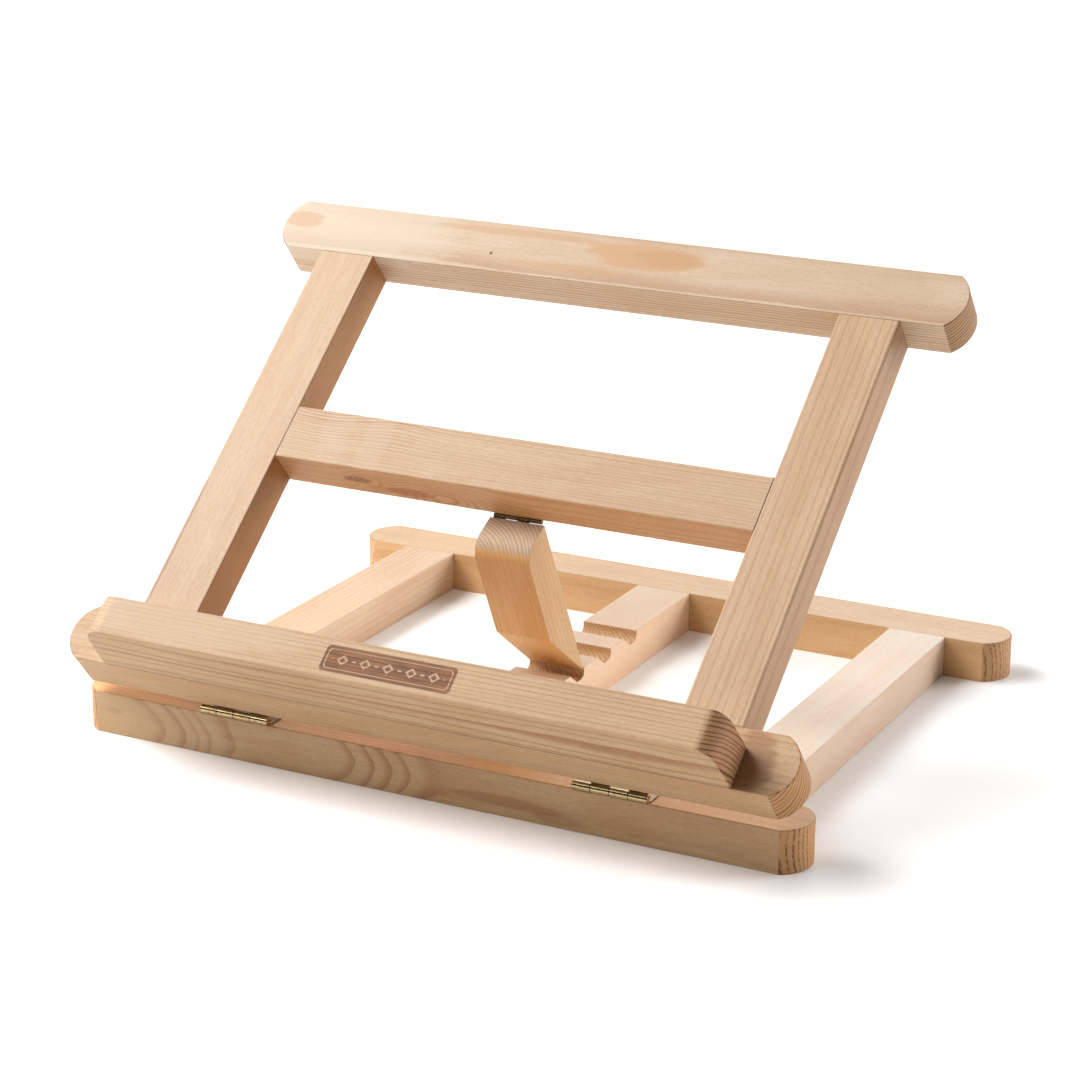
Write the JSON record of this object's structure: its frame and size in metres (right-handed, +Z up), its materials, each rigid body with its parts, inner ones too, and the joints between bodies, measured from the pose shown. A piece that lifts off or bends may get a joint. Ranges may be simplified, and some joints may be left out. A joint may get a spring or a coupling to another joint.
{
  "type": "tabletop wooden easel",
  "caption": "Folding table-top wooden easel: flat base frame, tilting upper frame with a ledge, and a hinged prop whose foot sits in a notched rack.",
  "frame": {"origin": "centre of the base frame's footprint, on the surface it stands on (underside of the rack bar)", "axes": "+X along the rails, +Y from the front (ledge side) to the back, +Z up"},
  "size_m": [0.36, 0.318, 0.215],
  "materials": {
    "base_wood": "sanded pine with a thin clear oil, straight grain",
    "frame_wood": "sanded pine with a thin clear oil, straight grain",
    "ledge_wood": "sanded pine with a thin clear oil, strongly striped, with a burnt panel on the front",
    "prop_wood": "sanded pine with a thin clear oil",
    "dowel_wood": "plain turned beech, hidden",
    "hinge_brass": "polished pressed brass",
    "screw_brass": "bright brass, cross recess"
  },
  "bodies": {
    "base": {"base_front_rail": "base_wood", "base_rear_rail": "base_wood", "base_left_stile": "base_wood", "base_right_stile": "base_wood", "rack_rail": "base_wood", "base_dowels": "dowel_wood", "left_hinge_base_leaf": "hinge_brass", "right_hinge_base_leaf": "hinge_brass", "left_hinge_pin": "hinge_brass", "right_hinge_pin": "hinge_brass", "base_hinge_screws": "screw_brass"},
    "frame": {"frame_bottom_rail": "frame_wood", "frame_top_rail": "frame_wood", "frame_middle_rail": "frame_wood", "frame_left_stile": "frame_wood", "frame_right_stile": "frame_wood", "ledge": "ledge_wood", "frame_dowels": "dowel_wood", "left_hinge_frame_leaf": "hinge_brass", "right_hinge_frame_leaf": "hinge_brass", "frame_hinge_screws": "screw_brass", "prop_hinge_rail_leaf": "hinge_brass", "prop_hinge_pin": "hinge_brass", "prop_hinge_rail_screws": "screw_brass"},
    "prop": {"prop_strut": "prop_wood", "prop_hinge_strut_leaf": "hinge_brass", "prop_hinge_strut_screws": "screw_brass"}
  },
  "joints": [
    {"name": "frame_tilt", "type": "hinge", "parent": "base", "child": "frame", "pos_m": [0, -0.1438, 0.0226], "axis": [1, 0, 0], "range_deg": [0, 50.3]},
    {"name": "prop_fold", "type": "hinge", "parent": "frame", "child": "prop", "pos_m": [0, -0.04862, 0.10318], "axis": [-1, 0, 0], "range_deg": [0, 76.9]}
  ],
  "couplings": [
    {"joint": "prop_fold", "follows": "frame_tilt", "ratio": 1.5288}
  ]
}
